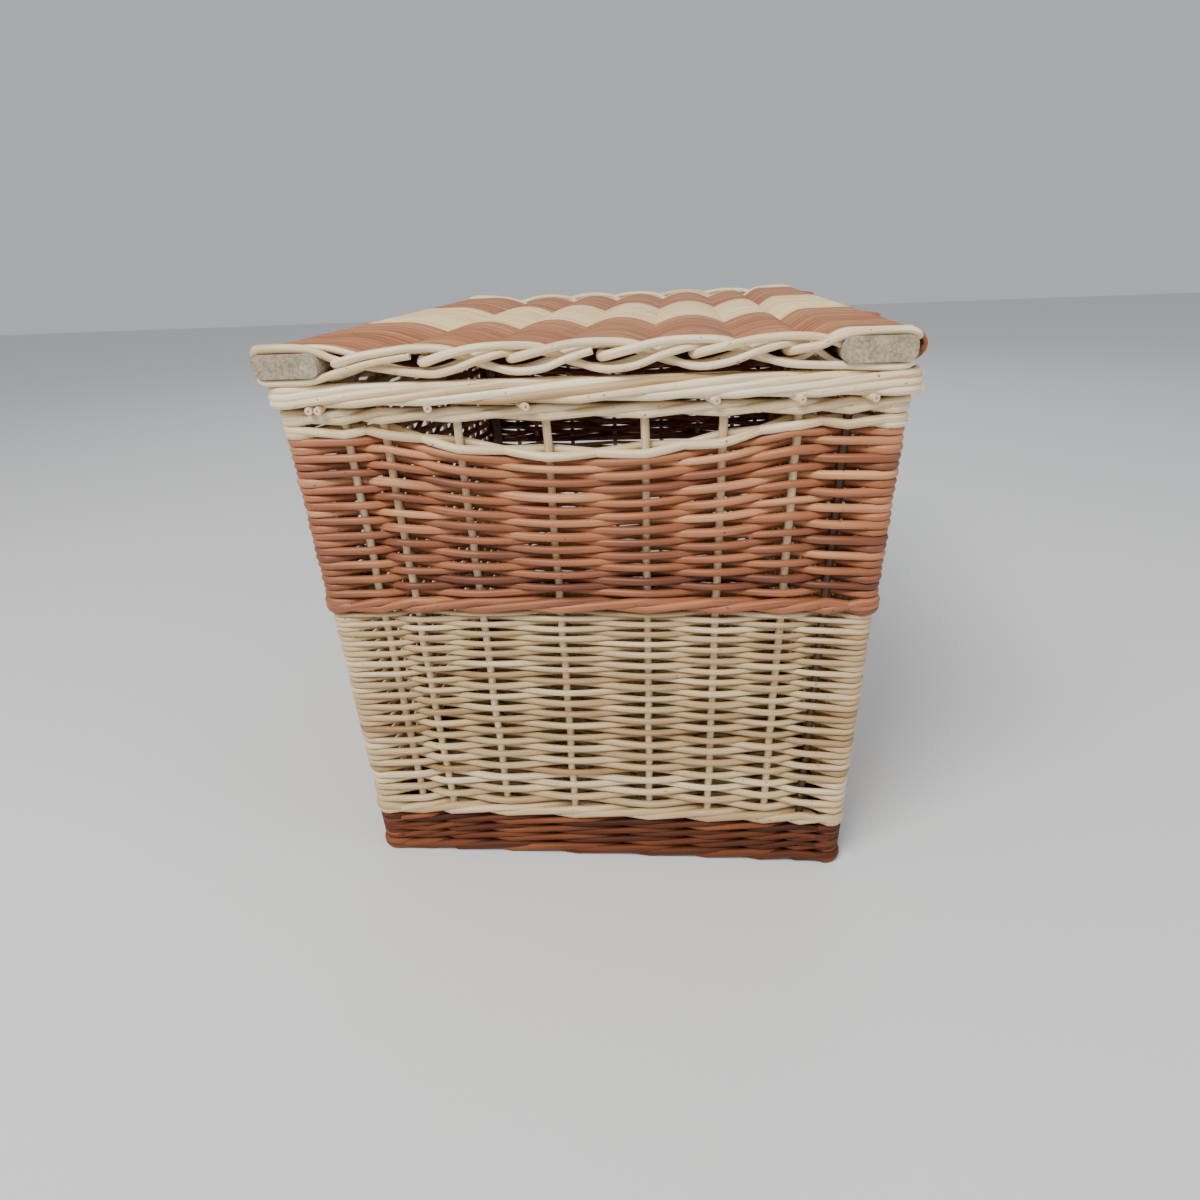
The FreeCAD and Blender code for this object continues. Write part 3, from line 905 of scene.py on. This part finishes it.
# The two darkest upright stops are painted shade, used only by the upright by the hinge corner; from 0.36 up
# the stops are the willow's own cream.
UPRIGHT_STOPS_AND_PAINTED_SHADE = ((0.0, (0.06, 0.025, 0.012)), (0.2, (0.10, 0.045, 0.02)), (0.36, (0.60, 0.42, 0.21)),
                 (1.0, (0.90, 0.74, 0.49)))
LID_CREAM_STOPS = ((0.0, (0.64, 0.41, 0.17)), (0.5, (0.88, 0.66, 0.34)), (1.0, (0.96, 0.80, 0.50)))
LID_BROWN_STOPS = ((0.0, (0.24, 0.080, 0.032)), (0.5, (0.39, 0.163, 0.074)), (1.0, (0.58, 0.29, 0.145)))
brown = willow("buff_willow", BROWN_STOPS, (0.10, 0.04, 0.02), (0.66, 0.48, 0.30))
brown_fine = willow("buff_willow_fine", LID_BROWN_STOPS, (0.16, 0.06, 0.03), (0.66, 0.48, 0.30), gloss=0.5)
foot_brown_and_painted_shade = willow("buff_willow_foot", FOOT_STOPS, (0.08, 0.03, 0.015), (0.66, 0.48, 0.30), gloss=0.5)
cream = willow("white_willow", CREAM_STOPS, (0.30, 0.17, 0.08), (0.70, 0.52, 0.36))
upright = willow("white_willow_upright", UPRIGHT_STOPS_AND_PAINTED_SHADE, (0.30, 0.17, 0.08), (0.70, 0.52, 0.36))
cream_rim = willow("white_willow_rim", RIM_STOPS, (0.30, 0.17, 0.08), (0.80, 0.62, 0.44))
cream_fine = willow("white_willow_fine", LID_CREAM_STOPS, (0.40, 0.25, 0.12), (0.70, 0.52, 0.36), gloss=0.5)
sawn = timber("sawn_wood", (0.28, 0.22, 0.14), (0.55, 0.46, 0.33))


# ---------------------------------------------------------------- stage and camera

def look(eye, yaw, pitch, roll):
    """A camera matrix: yaw turns left from +Y, pitch looks down, roll turns clockwise."""
    forward = Vector((-math.sin(yaw) * math.cos(pitch), math.cos(yaw) * math.cos(pitch), -math.sin(pitch)))
    right = Vector((math.cos(yaw), math.sin(yaw), 0))
    up = right.cross(forward)
    tilted_right = math.cos(roll) * right + math.sin(roll) * up
    tilted_up = math.cos(roll) * up - math.sin(roll) * right
    turn = Matrix((tilted_right, tilted_up, -forward)).transposed()
    return Matrix.Translation(eye) @ turn.to_4x4()


def make_camera():
    data = bpy.data.cameras.new("camera")
    data.sensor_width = 36
    data.lens = 36 * 764 / 1200
    data.clip_start = 0.02
    camera = bpy.data.objects.new("camera", data)
    front = -rim_corner[1] * MM
    yaw, pitch, roll = math.radians(6.25), math.radians(24.4), math.radians(-2.5)
    camera.matrix_world = look(Vector((0.0594, front - 0.4845, 0.4612)), yaw, pitch, roll)
    bpy.context.scene.collection.objects.link(camera)
    bpy.context.scene.camera = camera


def area_light(name, place, target, size, power, colour=(1, 1, 1)):
    data = bpy.data.lights.new(name, "AREA")
    data.shape = "RECTANGLE"
    data.size, data.size_y = size
    data.energy = power
    data.color = colour
    light = bpy.data.objects.new(name, data)
    light.location = place
    light.rotation_euler = (Vector(target) - Vector(place)).to_track_quat("-Z", "Y").to_euler()
    bpy.context.scene.collection.objects.link(light)


def make_stage():
    mesh = bpy.data.meshes.new("floor")
    size = 6.0
    corners = [(-size, -size, 0), (size, -size, 0), (size, size, 0), (-size, size, 0)]
    mesh.from_pydata(corners, [], [(0, 1, 2, 3)])
    mesh.materials.append(plain("floor", (0.72, 0.73, 0.74), 0.8))
    floor = bpy.data.objects.new("floor", mesh)
    bpy.context.scene.collection.objects.link(floor)
    world = bpy.data.worlds.new("studio")
    world.use_nodes = True
    world.node_tree.nodes["Background"].inputs["Color"].default_value = (0.90, 0.92, 0.96, 1)
    world.node_tree.nodes["Background"].inputs["Strength"].default_value = 0.54
    bpy.context.scene.world = world
    area_light("key", (-0.8, -1.5, 2.2), (0, 0, 0.25), (1.2, 0.9), 68, (1.0, 0.97, 0.92))
    area_light("fill", (1.8, -1.0, 1.4), (0, 0, 0.2), (1.5, 1.5), 12, (0.95, 0.98, 1.0))
    area_light("back", (0.2, 2.2, 1.9), (0, 0, 0.3), (2.0, 1.2), 10)


brown_wall()
cream_wall()
foot_wall()
wales()
stakes()
border()
lid_weave()
lid_ribs()
lid_ends()
rounded_bar("lid_bar_left", 5.5)
rounded_bar("lid_bar_right", 5.5)
hinge_loops()
base()
straight_rods()
dress_frame_nodes()
make_stage()
make_camera()
